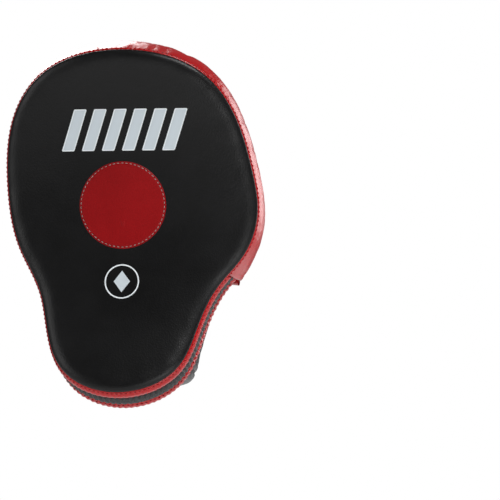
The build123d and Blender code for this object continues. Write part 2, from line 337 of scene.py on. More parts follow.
def tinted(tree, mask, dark, light):
    """A colour between dark and light, by a mask."""
    made = tree.nodes.new("ShaderNodeMix")
    made.data_type = "RGBA"
    made.inputs["A"].default_value = (*dark, 1)
    made.inputs["B"].default_value = (*light, 1)
    tree.links.new(mask, made.inputs["Factor"])
    return made.outputs["Result"]


def leather(name, dark, light, roughness, specular, crease=60.0, depth=0.3):
    """A leather: two close colours, a gloss and its own grain."""
    made, tree, shader = new_material(name)
    surface = tree.nodes.new("ShaderNodeGroup")
    surface.node_tree = leather_surface
    surface.inputs["Grain Scale"].default_value = 900.0
    surface.inputs["Crease Scale"].default_value = crease
    surface.inputs["Crease Depth"].default_value = depth
    tree.links.new(tinted(tree, surface.outputs["Tint"], dark, light), shader.inputs["Base Color"])
    change = math_node(tree, "MULTIPLY", surface.outputs["Gloss Change"], 0.22)
    tree.links.new(math_node(tree, "ADD", change, roughness), shader.inputs["Roughness"])
    relief = tree.nodes.new("ShaderNodeBump")
    relief.inputs["Distance"].default_value = 0.00012
    relief.inputs["Strength"].default_value = 0.8
    tree.links.new(surface.outputs["Height"], relief.inputs["Height"])
    tree.links.new(relief.outputs["Normal"], shader.inputs["Normal"])
    shader.inputs["Specular IOR Level"].default_value = specular
    return made


face_leather = leather("FaceLeather", (0.0018, 0.0018, 0.0020), (0.0034, 0.0034, 0.0038), 0.40, 0.36)
target_leather = leather("DiscLeather", (0.27, 0.0006, 0.0020), (0.33, 0.0010, 0.0030), 0.50, 0.22)
wall_leather = leather(
    "WallLeather", (0.46, 0.0025, 0.0045), (0.54, 0.0038, 0.0060), 0.30, 0.50, crease=45.0
)
hood_leather = leather(
    "HoodLeather", (0.37, 0.0010, 0.0030), (0.45, 0.0018, 0.0045), 0.32, 0.48, crease=35.0
)
cuff_leather = leather(
    "CuffLeather", (0.0026, 0.0026, 0.0029), (0.0050, 0.0050, 0.0055), 0.30, 0.52, crease=80.0, depth=0.6
)
lining_leather = leather(
    "LiningLeather", (0.006, 0.006, 0.0065), (0.010, 0.010, 0.011), 0.62, 0.30, crease=110.0, depth=0.7
)
print("leathers made")


# %% [markdown]
# ## The camera, the light and the floor
# The mitt is seen nearly square on, from a little to its thumb side and a little below its middle. A long
# lens keeps the sides of the outline parallel. The leather is dark and glossy, so what it shows is mostly
# the reflections of large soft lights. The pale surroundings are seen by the camera only, or the black
# leather would turn grey.

# %% Camera
view_azimuth = math.radians(6.0)
view_elevation = math.radians(-5.0)
frame_width = 0.361  # what the picture takes in at the mitt, from side to side
frame_centre = Vector((0.0945, -0.04, -0.0215))

camera_data = bpy.data.cameras.new("Camera")
camera_data.lens = 200.0
camera_data.sensor_width = 36.0
camera = bpy.data.objects.new("Camera", camera_data)
bpy.context.scene.collection.objects.link(camera)
towards_camera = Vector(
    (
        math.sin(view_azimuth) * math.cos(view_elevation),
        -math.cos(view_azimuth) * math.cos(view_elevation),
        math.sin(view_elevation),
    )
)
camera_distance = frame_width / 2 / (camera_data.sensor_width / 2 / camera_data.lens)
camera.location = frame_centre + towards_camera * camera_distance
camera.rotation_mode = "QUATERNION"
camera.rotation_quaternion = (-towards_camera).to_track_quat("-Z", "Y")
camera_data.clip_end = 50.0
bpy.context.scene.camera = camera
print("camera at", [round(v, 3) for v in camera.location])


# %% Lights, floor and surroundings
def soft_light(name, place, aim, size, power):
    """A large square area light."""
    data = bpy.data.lights.new(name, "AREA")
    data.shape = "SQUARE"
    data.size = size
    data.energy = power
    made = bpy.data.objects.new(name, data)
    bpy.context.scene.collection.objects.link(made)
    made.location = place
    made.rotation_mode = "QUATERNION"
    made.rotation_quaternion = (Vector(aim) - Vector(place)).to_track_quat("-Z", "Y")
    return made


soft_light("KeyLight", (0.85, -0.75, 1.15), (0, 0, 0.03), 0.6, 15)
soft_light("FillLight", (-1.25, -0.75, 0.35), (0, 0, 0), 0.8, 4.5)
soft_light("LowLight", (0.45, -0.55, -0.24), (0.02, 0, -0.08), 0.3, 1.1)
soft_light("BackKeyLight", (-0.55, 1.15, 1.00), (0, 0, 0), 0.8, 17)
soft_light("BackFillLight", (0.95, 1.05, 0.35), (0, 0, 0), 0.9, 9)

floor_height = cad_low.z - 0.170
bpy.ops.mesh.primitive_grid_add(x_subdivisions=2, y_subdivisions=2, size=14.0, location=(0, 0, floor_height))
floor = bpy.context.object
floor.name = "Floor"
floor_material, _, floor_shader = new_material("PaleFloor")
floor_shader.inputs["Base Color"].default_value = (0.86, 0.86, 0.86, 1)
floor_shader.inputs["Roughness"].default_value = 0.9
floor_shader.inputs["Specular IOR Level"].default_value = 0.1
floor_tree = floor_material.node_tree
floor_glow = floor_tree.nodes.new("ShaderNodeEmission")
floor_glow.inputs["Color"].default_value = (1, 1, 1, 1)
floor_ray = floor_tree.nodes.new("ShaderNodeLightPath")
floor_share = math_node(floor_tree, "MULTIPLY", floor_ray.outputs["Is Camera Ray"], 0.86)
floor_mix = floor_tree.nodes.new("ShaderNodeMixShader")
floor_tree.links.new(floor_share, floor_mix.inputs["Fac"])
floor_tree.links.new(floor_shader.outputs["BSDF"], floor_mix.inputs[1])
floor_tree.links.new(floor_glow.outputs["Emission"], floor_mix.inputs[2])
floor_tree.links.new(floor_mix.outputs["Shader"], floor_tree.nodes["Material Output"].inputs["Surface"])
floor.data.materials.append(floor_material)

world = bpy.data.worlds.new("PaleSurroundings")
bpy.context.scene.world = world
world.use_nodes = True
sky = world.node_tree
sky_seen = sky.nodes["Background"]
sky_seen.inputs["Color"].default_value = (1, 1, 1, 1)
sky_seen.inputs["Strength"].default_value = 1.0
sky_felt = sky.nodes.new("ShaderNodeBackground")
sky_felt.inputs["Color"].default_value = (1, 1, 1, 1)
sky_felt.inputs["Strength"].default_value = 0.11
ray = sky.nodes.new("ShaderNodeLightPath")
either = sky.nodes.new("ShaderNodeMixShader")
sky.links.new(ray.outputs["Is Camera Ray"], either.inputs["Fac"])
sky.links.new(sky_felt.outputs["Background"], either.inputs[1])
sky.links.new(sky_seen.outputs["Background"], either.inputs[2])
sky.links.new(either.outputs["Shader"], sky.nodes["World Output"].inputs["Surface"])
bpy.context.scene.view_settings.view_transform = "Standard"
print("floor at", round(floor_height, 3))


# %% [markdown]
# ## The face
# The striking face is one piece of black leather pulled over the pad and turned down over its edge. It is
# made as rings: the outer ones follow the outline and roll over the edge, and inside them the rings shrink
# towards the middle. The leather is drawn in at the seam, so faint puckers run inwards from it.

# %% Face cover
segments = 480
around = np.arange(segments) / segments
roll_width, roll_depth = 0.0095, 0.0050
blend_inset = 0.016
seam_tuck = 0.0012


def face_ring(inset, depth):
    """One ring of the face cover, this far inside the outline."""
    return on_layer(rim(around, -inset), depth)


face_rows = []
inner_ring = rim(around, -blend_inset)
for share in np.linspace(0.0, 1.0, 46)[1:]:
    face_rows.append(on_layer(inner_ring * share, -pad_thickness))
for inset in np.linspace(blend_inset, roll_width, 6)[1:]:
    face_rows.append(face_ring(inset, -pad_thickness))
for turn in np.linspace(0, math.pi / 2, 10)[1:]:
    inset = roll_width * (1 - math.sin(turn))
    face_rows.append(face_ring(inset, -pad_thickness + roll_depth * (1 - math.cos(turn))))
face_rows.append(face_ring(seam_tuck, seam_depth + 0.0004))
face_rows.append(face_ring(3 * seam_tuck, seam_depth + 0.0012))
face_rows = np.array(face_rows)

pucker = rumple(face_rows.reshape(-1, 3), 0.012, 3.1).reshape(face_rows.shape[:2])
swell = rumple(face_rows.reshape(-1, 3), 0.070, 8.4).reshape(face_rows.shape[:2])
ring_inset = np.linspace(1, 0, len(face_rows)) * face_half_width
near_edge = np.exp(-((ring_inset - 0.010) / 0.012) ** 2)[:, None]
face_rows[:, :, 1] += 0.00028 * pucker * near_edge + 0.0008 * swell * (1 - near_edge)
face_middle = on_layer(np.zeros((1, 2)), -pad_thickness)[0]
face_points = np.concatenate([[face_middle], face_rows.reshape(-1, 3)])
face_quads = [tuple(i + 1 for i in quad) for quad in grid_faces(len(face_rows), segments, True)]
face_quads += [(0, 1 + c, 1 + (c + 1) % segments) for c in range(segments)]
face = make_object("FacePad", face_points, face_quads, face_leather, "mitt")
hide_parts("face_cover", "impact_foam", "core_foam", "palm_foam")
print("face", len(face.data.vertices), "points")


# %% [markdown]
# ## Draping and stitching helpers
# The target, the printed marks and all stitches lie on covers that are already made. Each is laid out flat
# and then dropped on the cover along one direction with a ray, which also gives the cover's normal there.
# A stitch is a short thread that dives into the leather at both ends, and one object holds a whole seam.


# %% Drape and stitch helpers
def surface_of(piece):
    """A tree that rays can be cast on, for a finished piece."""
    places = [v.co for v in piece.data.vertices]
    return BVHTree.FromPolygons(places, [p.vertices for p in piece.data.polygons])


def dropped(tree, points, direction, lift):
    """Points moved along direction on to a surface and lifted off it, with the normals there."""
    direction = Vector(direction).normalized()
    places, normals = [], []
    for p in points:
        hit, normal, _, _ = tree.ray_cast(Vector(p) - direction * 0.3, direction)
        if hit is None:
            hit, normal, _, _ = tree.find_nearest(Vector(p))
        if normal.dot(direction) > 0:
            normal = -normal
        places.append(hit + normal * lift)
        normals.append(normal)
    return places, normals


def evenly(path, pitch, closed=False):
    """Points about pitch apart along a polyline, as an array."""
    path = np.array([tuple(p) for p in path])
    if closed:
        path = np.concatenate([path, path[:1]])
    steps = np.linalg.norm(np.diff(path, axis=0), axis=1)
    run = np.concatenate([[0], np.cumsum(steps)])
    count = max(2, int(round(run[-1] / pitch)))
    where = np.linspace(0, run[-1], count, endpoint=False) + 0.5 * run[-1] / count
    return np.stack([np.interp(where, run, path[:, k]) for k in range(3)], axis=1)


def stitches(name, tree, path, material, body, pitch=0.0042, length=0.0030, radius=0.00042, closed=False):
    """A row of stitches along a path near a surface."""
    middles = evenly(path, pitch, closed)
    points, faces = [], []
    sides, stations = 6, 5
    for i, middle in enumerate(middles):
        if closed or i + 1 < len(middles):
            following = middles[(i + 1) % len(middles)]
        else:
            following = 2 * middle - middles[i - 1]
        before = middles[i - 1] if closed or i else 2 * middle - middles[1]
        along = Vector(following - before).normalized()
        hit, normal, _, _ = tree.find_nearest(Vector(middle))
        side = along.cross(normal).normalized()
        start = len(points)
        for k in range(stations):
            t = 2 * k / (stations - 1) - 1
            thick = radius * math.sqrt(max(0.0, 1 - abs(t) ** 3)) + 0.00002
            centre = hit + along * (t * length / 2) + normal * (radius * (0.75 - 1.5 * t * t))
            for s in range(sides):
                turn = 2 * math.pi * s / sides
                across = side * (thick * math.cos(turn))
                points.append(centre + across + normal * (0.8 * thick * math.sin(turn)))
        for k in range(stations - 1):
            for s in range(sides):
                a, b = start + k * sides + s, start + k * sides + (s + 1) % sides
                faces.append((a, b, b + sides, a + sides))
        faces.append(tuple(start + s for s in range(sides)))
        faces.append(tuple(start + (stations - 1) * sides + s for s in range(sides)))
    made = make_object(name, points, faces, material, body)
    print(name, len(middles), "stitches")
    return made


def ribbon(name, tree, path, width, lift, material, body, direction=(0, 1, 0), closed=False):
    """A flat printed or woven line of this width along a path, dropped on a surface."""
    path = np.array([tuple(p) for p in path])
    if closed:
        before, after = np.roll(path, 1, axis=0), np.roll(path, -1, axis=0)
    else:
        before = np.concatenate([path[:1], path[:-1]])
        after = np.concatenate([path[1:], path[-1:]])
    along = after - before
    along /= np.linalg.norm(along, axis=1)[:, None]
    side = np.cross(along, np.array(direction))
    side /= np.linalg.norm(side, axis=1)[:, None]
    rows = [path + side * (width * k / 2) for k in (-1, 0, 1)]
    laid = [dropped(tree, row, direction, lift)[0] for row in rows]
    rows = np.array([[tuple(p) for p in row] for row in laid])
    return grid_object(name, rows, material, body, wrap_columns=closed)


# %% [markdown]
# ## Threads, prints and cloth finishes
# Threads are twisted, prints are a thin film of ink that shows the grain under it, and tapes are woven.
# They share one group for fine weave, and differ in its scale and depth. The low spaces between its threads
# are darkened with painted shade.


# %% Weave group and the finishes that use it
def weave_group():
    """Crossed threads of a fabric, as a height and a mask of the low spaces between them, where shade is
    painted.
    """
    number = "NodeSocketFloat"
    group, given, put = new_group(
        "FineWeave",
        {"Threads Per Metre": (number, 1500.0), "Unevenness": (number, 0.2)},
        {"Height": number, "Painted Gap Shade": number},
    )
    place = group.nodes.new("ShaderNodeTexCoord")
    split = group.nodes.new("ShaderNodeSeparateXYZ")
    group.links.new(place.outputs["Object"], split.inputs["Vector"])
    waves = []
    for axis in ("X", "Z"):
        turns = math_node(group, "MULTIPLY", split.outputs[axis], given.outputs["Threads Per Metre"])
        angle = math_node(group, "MULTIPLY", turns, math.pi)
        waves.append(math_node(group, "ABSOLUTE", math_node(group, "SINE", angle)))
    both = math_node(group, "MULTIPLY", waves[0], waves[1])
    rough = group.nodes.new("ShaderNodeTexNoise")
    rough.inputs["Scale"].default_value = 900.0
    group.links.new(place.outputs["Object"], rough.inputs["Vector"])
    uneven = math_node(group, "MULTIPLY", rough.outputs["Fac"], given.outputs["Unevenness"])
    height = math_node(group, "ADD", both, uneven)
    group.links.new(height, put.inputs["Height"])
    # high where the threads sink between crossings: the mask that places painted shade
    painted_gap_shade = math_node(group, "SUBTRACT", 1.0, both)
    group.links.new(painted_gap_shade, put.inputs["Painted Gap Shade"])
    return group


fine_weave = weave_group()


def woven(name, dark, light, roughness, threads, bump=0.0001, sheen=0.0):
    """A woven finish: light threads, with painted shade darkening the low spaces between them."""
    made, tree, shader = new_material(name)
    weave = tree.nodes.new("ShaderNodeGroup")
    weave.node_tree = fine_weave
    weave.inputs["Threads Per Metre"].default_value = threads
    # the spaces between threads take the darker colour: painted shade in the recesses of the weave
    tree.links.new(tinted(tree, weave.outputs["Painted Gap Shade"], light, dark), shader.inputs["Base Color"])
    shader.inputs["Roughness"].default_value = roughness
    relief = tree.nodes.new("ShaderNodeBump")
    relief.inputs["Distance"].default_value = bump
    tree.links.new(weave.outputs["Height"], relief.inputs["Height"])
    tree.links.new(relief.outputs["Normal"], shader.inputs["Normal"])
    shader.inputs["Specular IOR Level"].default_value = 0.25
    shader.inputs["Sheen Weight"].default_value = sheen
    return made


# the first colour of each woven finish is its thread colour darkened as painted shade for the spaces between
# threads
pale_thread = woven("PaleThread", (0.26, 0.24, 0.23), (0.55, 0.50, 0.48), 0.7, 2600)
red_thread = woven("RedThread", (0.20, 0.004, 0.006), (0.42, 0.012, 0.016), 0.6, 2600)
black_thread = woven("BlackThread", (0.006, 0.006, 0.007), (0.020, 0.020, 0.022), 0.6, 2600)
pale_print = woven("PalePrint", (0.86, 0.92, 0.95), (0.93, 0.97, 0.99), 0.5, 1400, 0.00003)
grey_print = woven("GreyPrint", (0.62, 0.70, 0.75), (0.74, 0.81, 0.85), 0.5, 1400, 0.00003)
label_cloth = woven("LabelCloth", (0.66, 0.68, 0.72), (0.84, 0.86, 0.90), 0.75, 1300, 0.00012, 0.2)
label_ink = woven("LabelDarkThread", (0.004, 0.005, 0.010), (0.014, 0.016, 0.030), 0.7, 1300, 0.0001)
label_blue = woven("LabelBlueThread", (0.004, 0.055, 0.30), (0.010, 0.085, 0.44), 0.65, 1300, 0.0001)
label_red = woven("LabelRedThread", (0.62, 0.016, 0.022), (0.86, 0.040, 0.050), 0.65, 1300, 0.0001)
tape_black = woven("ElasticWeave", (0.004, 0.004, 0.0045), (0.014, 0.014, 0.015), 0.6, 1100, 0.0002, 0.1)
print("cloth finishes made")


# %% [markdown]
# ## The target
# The red target is a disc of leather sewn flat on the face. Its edge is skived thin and held by one row of
# pale thread just inside it, which dimples the leather, so the disc is made as rings that dip there.

# %% Target disc
disc_segments = 180
disc_rise = 0.0011
edge_stitch_inset = 0.0012
face_tree = surface_of(face)
disc_rows = []
inside_radii = np.linspace(0, target_radius - 0.003, 24)[1:]
edge_radii = target_radius - np.linspace(0.0027, 0, 10)
for radius in np.concatenate([inside_radii, edge_radii]):
    inset = target_radius - radius
    lift = disc_rise * float(ramp(inset, -0.0004, 0.0009)) - 0.0002
    lift -= 0.00045 * math.exp(-(((inset - edge_stitch_inset) / 0.0005) ** 2))
    turn = 2 * math.pi * np.arange(disc_segments) / disc_segments
    ring_x, ring_z = radius * np.cos(turn), target_z + radius * np.sin(turn)
    ring = np.stack([ring_x, np.full(disc_segments, -0.1), ring_z], axis=1)
    disc_rows.append([tuple(p) for p in dropped(face_tree, ring, (0, 1, 0), lift)[0]])
middle = dropped(face_tree, [(0, -0.1, target_z)], (0, 1, 0), disc_rise - 0.0002)[0][0]
disc_rows.insert(0, [tuple(middle)] * disc_segments)
target = grid_object("RedDisc", np.array(disc_rows), target_leather, "mitt", wrap_columns=True)
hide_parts("target_disc")
target_tree = surface_of(target)
turn = 2 * math.pi * np.arange(360) / 360
stitch_radius = target_radius - edge_stitch_inset
ring = [(stitch_radius * math.cos(a), -0.1, target_z + stitch_radius * math.sin(a)) for a in turn]
ring = dropped(target_tree, ring, (0, 1, 0), 0.0)[0]
stitches(
    "RedDiscStitches", target_tree, ring, pale_thread, "mitt", 0.0031, 0.0022, 0.00026, closed=True
)


# %% [markdown]
# ## The red edge binding
# Between the face and the side wall runs a narrow red strip, folded round the seam and held by a row of
# small stitches. It stands a little proud, so it is a rounded strip that follows the outline.

# %% Seam binding
binding_rows = []
for share in np.linspace(0, 1, 9):
    out = 0.0009 * math.sin(math.pi * share) ** 0.6 - 0.0010 * (1 - math.sin(math.pi * share))
    binding_rows.append(on_layer(rim(around, out), seam_depth + 0.0002 + share * (binding_end - seam_depth)))
binding = grid_object("SeamBinding", binding_rows, wall_leather, "mitt", wrap_columns=True)
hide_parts("seam_binding")
binding_line = on_layer(rim(around, 0.0008), (seam_depth + binding_end) / 2)
binding_tree = surface_of(binding)
stitches(
    "BindingStitches", binding_tree, binding_line, red_thread, "mitt", 0.0034, 0.0022, 0.00030, closed=True
)


# %% [markdown]
# ## Letting a cover settle
# Leather over foam is longer than the space it is sewn into, so it crumples near its seams. The cover is
# simulated as cloth with its seams held, a little spare length and a gentle push from inside. How far a
# point may move is capped, so that the cover keeps the size of the CAD piece, and the result is applied.


# %% Cloth helper
def settle(piece, held, pressure, spare, cap, frames=18):
    """Simulates a cover as cloth. held has one weight for each point, 1 where it is sewn down."""
    scene = bpy.context.scene
    at_rest = np.array([v.co for v in piece.data.vertices])
    group = piece.vertex_groups.new(name="Sewn")
    for i, weight in enumerate(held):
        group.add([i], float(weight), "REPLACE")
    cloth = piece.modifiers.new("Cloth", "CLOTH")
    cloth.settings.vertex_group_mass = "Sewn"
    cloth.settings.quality = 5
    cloth.settings.mass = 0.25
    cloth.settings.tension_stiffness = 18
    cloth.settings.compression_stiffness = 18
    cloth.settings.bending_stiffness = 0.6
    cloth.settings.shrink_min = -spare
    cloth.settings.use_pressure = True
    cloth.settings.uniform_pressure_force = pressure
    cloth.settings.effector_weights.gravity = 0
    cloth.point_cache.frame_start = 1
    cloth.point_cache.frame_end = frames
    for number in range(1, frames + 1):
        scene.frame_set(number)
    settled = piece.evaluated_get(bpy.context.evaluated_depsgraph_get())
    moved = np.array([v.co for v in settled.data.vertices]) - at_rest
    piece.modifiers.remove(cloth)
    scene.frame_set(1)
    far = np.linalg.norm(moved, axis=1)[:, None]
    moved *= cap / (cap + far)
    piece.data.vertices.foreach_set("co", (at_rest + moved).ravel())
    piece.data.update()
    print(piece.name, "settled, most", round(float(np.linalg.norm(moved, axis=1).max()) * 1000, 2), "mm")


# %% [markdown]
# ## The finger wall
# Above the waist a red leather wall runs round the fingers, from the binding at the face up to the crown of
# the hood. It is sewn in at both edges and filled out by the foam behind it, so it bulges between its seams
# and is drawn in along them. At the waist it ends in a soft proud edge over the wrist wall.


# %% Finger wall
finest = np.linspace(0, 1, 4001)
rim_heights = rim(finest)[:, 1]


def share_at(height, thumb):
    """The share of the outline where one side of the rim is at this height."""
    half = (finest < 0.46) if thumb else (finest > 0.54)
    shares, heights = finest[half], rim_heights[half]
    if thumb:
        return float(np.interp(-height, -heights, shares))
    return float(np.interp(height, heights, shares)) - 1


def crown_edge(points):
    """Rim points carried up the splayed wall to the crown."""
    y = np.full(len(points), 0.02)
    for _ in range(14):
        y = crown_y(points[:, 0], points[:, 1] * (1 + (y - rim_y) / flare_radius))
    return flared(points, y)


def unflared(height, y):
    """The rim height that the splayed wall carries to this height at depth y."""
    return height / (1 + (y - rim_y) / flare_radius)


wall_columns = 300
along_wall = np.linspace(0, 1, wall_columns)
waist_shares = (share_at(waist_z, False), share_at(waist_z, True))
wall_rows = []
for t in np.linspace(0, 1, 17):
    shares = waist_shares[0] + along_wall * (waist_shares[1] - waist_shares[0])
    for _ in range(3):
        low = on_layer(rim(shares), binding_end)[:, 1]
        high = crown_edge(rim(shares))[:, 1]
        y = low + t * (high - low)
        first = share_at(unflared(waist_z, y[0]), False)
        last = share_at(unflared(waist_z, y[-1]), True)
        shares = first + along_wall * (last - first)
    full = math.sin(math.pi * t)
    from_end = np.minimum(along_wall, 1 - along_wall) * 0.55
    end = ramp(from_end, 0.0, 0.004)
    out = 0.0024 * full**0.8 - 0.0012 * (1 - full) + 0.0007 * np.exp(-((from_end - 0.005) / 0.004) ** 2)
    out = out * end - 0.0026 * (1 - end)
    row = flared(rim(shares, out[:, None]), y)
    creases = rumple(row, 0.010, 5.7, (1, 0.35, 1)) * (0.3 + abs(2 * t - 1))
    wall_rows.append(flared(rim(shares, (out + 0.00035 * creases)[:, None]), y))
finger_wall = grid_object("FingerWall", wall_rows, wall_leather, "mitt")
held = np.zeros((len(wall_rows), wall_columns))
held[[0, -1], :] = held[:, :6] = held[:, -6:] = 1
settle(finger_wall, held.ravel(), 1.5, 0.012, 0.0018)
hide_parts("finger_wall")
print("finger wall", len(finger_wall.data.vertices), "points")


# %% [markdown]
# ## The wrist end
# Below the waist the wall is three strips: red leather, gathered black elastic, and red leather again that
# turns in over the palm. The elastic was stretched while it was sewn, so it ripples when it lets go.

# %% Wrist strips
bottom_columns = 420
wrist_overlap = 0.0015  # how far the strips reach up under the finger wall
gather = np.sin(2 * math.pi * 62 * np.linspace(0, 1, bottom_columns))
zigzag = 2 * np.abs(np.mod(58 * np.linspace(0, 1, bottom_columns), 1) - 0.5)


def wrist_shares(depth):
    """Shares of the outline from waist to waist round the wrist, on the layer at this depth."""
    pinky_y, thumb_y = on_layer(rim(waist_shares), depth)[:, 1]
    first = share_at(unflared(waist_z + wrist_overlap, thumb_y), True)
    last = 1 + share_at(unflared(waist_z + wrist_overlap, pinky_y), False)
    return np.linspace(first, last, bottom_columns)


def wrist_rows(start, end, bulge, tuck, count, ripple=0.0, teeth=0.0):
    """Rows of a strip of the wrist wall between two depths."""
    rows = []
    for t in np.linspace(0, 1, count):
        full = math.sin(math.pi * t)
        out = bulge * full**0.7 - tuck * (1 - full) + ripple * gather * (0.35 + 0.65 * full)
        middle_depth = start + t * (end - start)
        depth = middle_depth + teeth * (2 * t - 1) * (zigzag - 0.5)
        rows.append(on_layer(rim(wrist_shares(middle_depth), out), depth))
    return rows


front_rows = wrist_rows(binding_end, elastic_start, 0.0016, 0.0008, 11, 0.00012)
front_strip = grid_object("WristFrontStrip", front_rows, wall_leather, "mitt")
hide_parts("wrist_front_strip")
elastic = grid_object(
    "WristElastic",
    wrist_rows(elastic_start, elastic_end, 0.0011, -0.0002, 15, 0.00055, 0.0014),
    tape_black,
    "mitt",
)
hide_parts("wrist_elastic")
back_rows = wrist_rows(elastic_end, lip_depth, 0.0012, 0.0006, 9, 0.0003)
turned_lip = ((0.0004, 0.0139), (0.0016, 0.0142), (0.0028, 0.0136), (0.0032, 0.0110), (0.0032, 0.0030))
for inset, depth in turned_lip:
    back_rows.append(on_layer(rim(wrist_shares(depth), -inset + 0.0002 * gather), depth))
back_strip = grid_object("WristBackStrip", back_rows, wall_leather, "mitt")
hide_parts("wrist_back_strip")
for name, strip, depth in (
    ("BackStripStitches", back_strip, elastic_end + 0.002),
    ("FrontStripStitches", front_strip, elastic_start - 0.002),
):
    strip_line = on_layer(rim(wrist_shares(depth), 0.001), depth)
    stitches(name, surface_of(strip), strip_line[6:-6], red_thread, "mitt", 0.0034, 0.0022, 0.0003)


# %% [markdown]
# ## The hood
# The hood is a padded leather crown over the fingers, sewn to the wall along a turned seam. It is made as
# rings that shrink from its outline towards the middle and take their height from the crown's shape. The
# seam draws the leather down, the foam lifts it just inside, and the thumb side crumples a little.

# %% Hood crown
mouth_columns, rim_columns, hood_rings = 120, 300, 44


def mouth_z(x):
    """Height of the hood's mouth across the mitt."""
    return hood_mouth_z + (waist_z - hood_mouth_z) * (x / face_half_width) ** 2


edge_shares = [waist_shares[0], waist_shares[1]]
for _ in range(6):
    ends = crown_edge(rim(edge_shares, -0.0004))
    wanted = mouth_z(ends[:, 0])
    edge_shares = [
        share_at(unflared(wanted[0], ends[0, 1]), False),
        share_at(unflared(wanted[1], ends[1, 1]), True),
    ]
seam = crown_edge(rim(np.linspace(edge_shares[0], edge_shares[1], rim_columns), -0.0004))
mouth_x = np.linspace(seam[-1, 0], seam[0, 0], mouth_columns + 2)[1:-1]
outline = np.concatenate([seam[:, [0, 2]], np.stack([mouth_x, mouth_z(mouth_x)], axis=1)])
at_seam = np.concatenate([np.ones(rim_columns), np.zeros(mouth_columns)])
hood_middle = np.array([0.0, 0.030])
reach = np.linalg.norm(outline - hood_middle, axis=1)
hood_rows = []
for share in 1 - np.linspace(0, 1, hood_rings)[:-1] ** 1.5:
    ring = hood_middle + share * (outline - hood_middle)
    inset = (1 - share) * reach
    lift = at_seam * (0.0021 * ramp(inset, 0, 0.016) - 0.0013 * np.exp(-((inset / 0.0022) ** 2)))
    lift += (1 - at_seam) * 0.0021 * ramp(inset, 0, 0.020)
    flat_ring = np.stack([ring[:, 0], np.zeros(len(ring)), ring[:, 1]], axis=1)
    soft = rumple(flat_ring, 0.045, 2.2)
    folds = rumple(flat_ring, 0.016, 7.9, (1.0, 1, 0.45))
    thumb_side = ramp(ring[:, 0], 0.035, 0.070)
    near_seam = np.exp(-(((inset - 0.008) / 0.008) ** 2)) * at_seam
    fold_height = 0.0009 * thumb_side * ramp(inset, 0, 0.008) + 0.0004 * near_seam
    lift += 0.0007 * soft * ramp(inset, 0, 0.01) + folds * fold_height
    hood_rows.append(np.stack([ring[:, 0], crown_y(ring[:, 0], ring[:, 1]) + lift, ring[:, 1]], axis=1))
top = float(crown_y(np.array([0.0]), np.array([0.030]))[0]) + 0.0021
hood_rows.append(np.repeat([[0.0, top, 0.030]], len(outline), axis=0))
hood = grid_object("HoodCrown", hood_rows, hood_leather, "mitt", wrap_columns=True)
held = np.zeros(len(hood.data.vertices))
held[: len(outline)] = 1
settle(hood, held, 1.5, 0.010, 0.0022)

# the rings meet in one point, which the cloth leaves standing up, so the leather is levelled round it
crown_points = np.array([v.co for v in hood.data.vertices])
crown_base = crown_y(crown_points[:, 0], crown_points[:, 2])
from_middle = np.linalg.norm(crown_points[:, [0, 2]] - hood_middle, axis=1)
beside = (from_middle > 0.008) & (from_middle < 0.011)
level = float((crown_points[:, 1] - crown_base)[beside].mean())
keep = ramp(from_middle, 0.005, 0.010)
crown_points[:, 1] = crown_base + keep * (crown_points[:, 1] - crown_base) + (1 - keep) * level
hood.data.vertices.foreach_set("co", crown_points.ravel())
hood.data.update()
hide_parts("hood_crown", "hood_foam")
hood_tree = surface_of(hood)
print("hood", len(hood.data.vertices), "points")

# %% Hood hem
hem_profile = [(0.0030, -0.0010), (0.0010, -0.0016), (-0.0012, -0.0012), (-0.0030, 0.0004)]
hem_profile += [(-0.0040, 0.0030), (-0.0043, 0.0064), (-0.0040, 0.0098), (-0.0030, 0.0122)]
hem_profile += [(-0.0008, 0.0136), (0.0030, 0.0134)]
hem_x = np.linspace(seam[0, 0] + 0.0012, seam[-1, 0] - 0.0012, 200)
hem_rows = []
for shift, depth in hem_profile:
    z = mouth_z(hem_x) + shift
    y = crown_y(hem_x, z, depth)
    row = np.stack([hem_x, y, z], axis=1)
    row[:, 1] += 0.0004 * rumple(row, 0.011, 4.4)
    hem_rows.append(row)
hem = grid_object("HoodHem", hem_rows, hood_leather, "mitt")
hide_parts("hood_hem")
hem_z = mouth_z(hem_x) + 0.0052
hem_line = np.stack([hem_x, crown_y(hem_x, hem_z), hem_z], axis=1)
stitches("HemStitches", hood_tree, hem_line[4:-4], pale_thread, "mitt", 0.0046, 0.0034, 0.00042)

# %% [markdown]
# ## The label
# A woven label lies on the back of the hood. It is a flat grid dropped on the crown, with its edge turned
# under and stitched down. Its border and its plain stripes are woven in, so they lie flush on the cloth.


# %% Label
def filled(name, tree, quads, direction, lift, material, body, steps=10):
    """Flat four-cornered shapes, given by X and Z, dropped on a surface as one piece."""
    points, faces = [], []
    for corners in quads:
        a, b, c, d = [np.array(corner) for corner in corners]
        start = len(points)
        flat = []
        for i in range(steps + 1):
            for j in range(steps + 1):
                u, v = i / steps, j / steps
                x, z = (a * (1 - u) + b * u) * (1 - v) + (d * (1 - u) + c * u) * v
                flat.append((x, -0.1 if direction[1] > 0 else 0.1, z))
        points += dropped(tree, flat, direction, lift)[0]
        faces += [tuple(start + i for i in quad) for quad in grid_faces(steps + 1, steps + 1)]
    return make_object(name, points, faces, material, body)


outwards = (0, -1, 0)
label_width, label_length, label_z = 0.090, 0.084, 0.046
label_rows = []
label_steps = np.linspace(-1, 1, 61)
for v in label_steps:
    z = np.full(61, label_z + v * label_length / 2)
    flat = np.stack([label_steps * label_width / 2, np.full(61, 0.1), z], axis=1)
    edge = np.minimum((1 - np.abs(label_steps)) * label_width / 2, (1 - abs(v)) * label_length / 2)
    places, normals = dropped(hood_tree, flat, outwards, 0.0)
    lift = 0.0009 * ramp(edge, -0.0006, 0.0010) - 0.0003 * np.exp(-(((edge - 0.0022) / 0.0006) ** 2))
    label_rows.append([tuple(p + n * h) for p, n, h in zip(places, normals, lift)])
label = grid_object("LabelPatch", label_rows, label_cloth, "mitt")
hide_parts("label_patch")
label_tree = surface_of(label)


